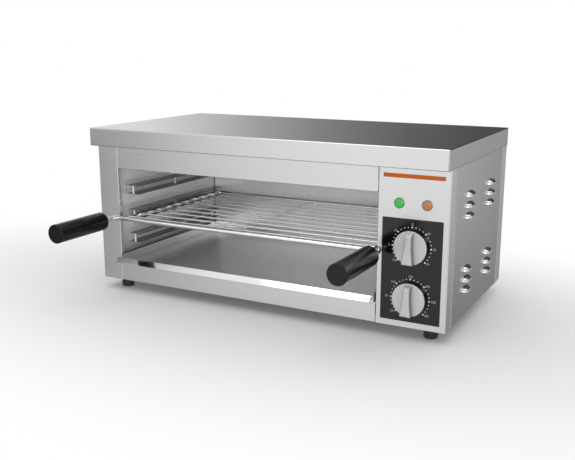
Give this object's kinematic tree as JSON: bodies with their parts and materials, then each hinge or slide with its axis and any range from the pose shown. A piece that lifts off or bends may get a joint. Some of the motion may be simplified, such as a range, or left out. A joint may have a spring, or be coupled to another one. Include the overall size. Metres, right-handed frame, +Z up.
{
  "type": "salamander toaster",
  "caption": "Counter-top salamander toaster in stainless sheet: open heated cavity, sliding wire rack with black grips, drip tray, and a control column with timer and thermostat.",
  "frame": {"origin": "middle of the whole object's width and depth, on the surface that the feet stand on", "axes": "+X to the right seen from the front, +Y to the back, +Z up"},
  "size_m": [0.6157, 0.471, 0.278],
  "materials": {
    "brushed_steel": "fine horizontal brush, bright",
    "liner_steel": "cold-rolled, satin",
    "inner_sheet": "zinc-plated, matt",
    "rail_steel": "satin",
    "bright_wire": "polished rod and wire",
    "black_grip": "smooth black phenolic",
    "tray_steel": "bright, half polished",
    "element_sheath": "dull heat-darkened sheath",
    "ceramic": "white steatite",
    "knob_silver": "silver-painted, satin",
    "shaft_steel": "turned",
    "moulded_body": "dark moulding",
    "screw_steel": "bright zinc",
    "lens_green": "clear coloured",
    "lens_amber": "clear coloured",
    "copper": "drawn copper tube",
    "gland_plastic": "black nylon",
    "foot_rubber": "matt black",
    "scale_black": "satin black printed face",
    "accent_copper": "satin copper red"
  },
  "bodies": {
    "casing": {"top_cover": "brushed_steel", "left_side_panel": "brushed_steel", "right_side_cover": "brushed_steel", "rear_panel": "brushed_steel", "base_plate": "brushed_steel", "hood_fascia": "brushed_steel", "lower_fascia": "brushed_steel", "control_fascia": "brushed_steel", "cavity_left_wall": "liner_steel", "cavity_right_wall": "liner_steel", "cavity_rear_wall": "liner_steel", "cavity_floor": "liner_steel", "cavity_ceiling": "liner_steel", "liner_bearer_left": "inner_sheet", "liner_bearer_right": "inner_sheet", "element_hanger_left": "inner_sheet", "element_hanger_right": "inner_sheet", "bulb_clips": "inner_sheet", "rail_left_1": "rail_steel", "rail_left_2": "rail_steel", "rail_left_3": "rail_steel", "rail_right_1": "rail_steel", "rail_right_2": "rail_steel", "rail_right_3": "rail_steel", "rail_pins": "rail_steel", "heating_element_front": "element_sheath", "heating_element_rear": "element_sheath", "element_bushes": "ceramic", "timer_body": "moulded_body", "thermostat_body": "moulded_body", "terminal_block": "moulded_body", "lamp_holder_green": "moulded_body", "lamp_holder_amber": "moulded_body", "control_screws": "screw_steel", "foot_screws": "screw_steel", "fascia_screws": "screw_steel", "rear_screws": "screw_steel", "lamp_lens_green": "lens_green", "lamp_lens_amber": "lens_amber", "thermostat_bulb": "copper", "safety_limiter": "inner_sheet", "cable_gland": "gland_plastic", "gland_nut": "gland_plastic", "foot_front_left": "foot_rubber", "foot_front_right": "foot_rubber", "foot_rear_left": "foot_rubber", "foot_rear_right": "foot_rubber", "scale_plate": "scale_black", "accent_strip": "accent_copper"},
    "rack": {"rack_frame": "bright_wire", "rack_grid": "bright_wire", "handle_rod_left": "bright_wire", "handle_rod_right": "bright_wire", "grip_left": "black_grip", "grip_right": "black_grip"},
    "tray": {"drip_tray": "tray_steel"},
    "timer_knob": {"knob_timer": "knob_silver", "timer_shaft": "shaft_steel"},
    "thermostat_knob": {"knob_thermostat": "knob_silver", "thermostat_shaft": "shaft_steel"}
  },
  "joints": [
    {"name": "rack_slide", "type": "slide", "parent": "casing", "child": "rack", "axis": [0, -1, 0], "range_m": [0, 0.22]},
    {"name": "tray_slide", "type": "slide", "parent": "casing", "child": "tray", "axis": [0, -1, 0], "range_m": [0, 0.25]},
    {"name": "timer_turn", "type": "hinge", "parent": "casing", "child": "timer_knob", "pos_m": [0.251, -0.0989, 0.1372], "axis": [0, 1, 0], "range_deg": [-138, 132]},
    {"name": "thermostat_turn", "type": "hinge", "parent": "casing", "child": "thermostat_knob", "pos_m": [0.251, -0.0989, 0.0621], "axis": [0, 1, 0], "range_deg": [-138, 132]}
  ]
}
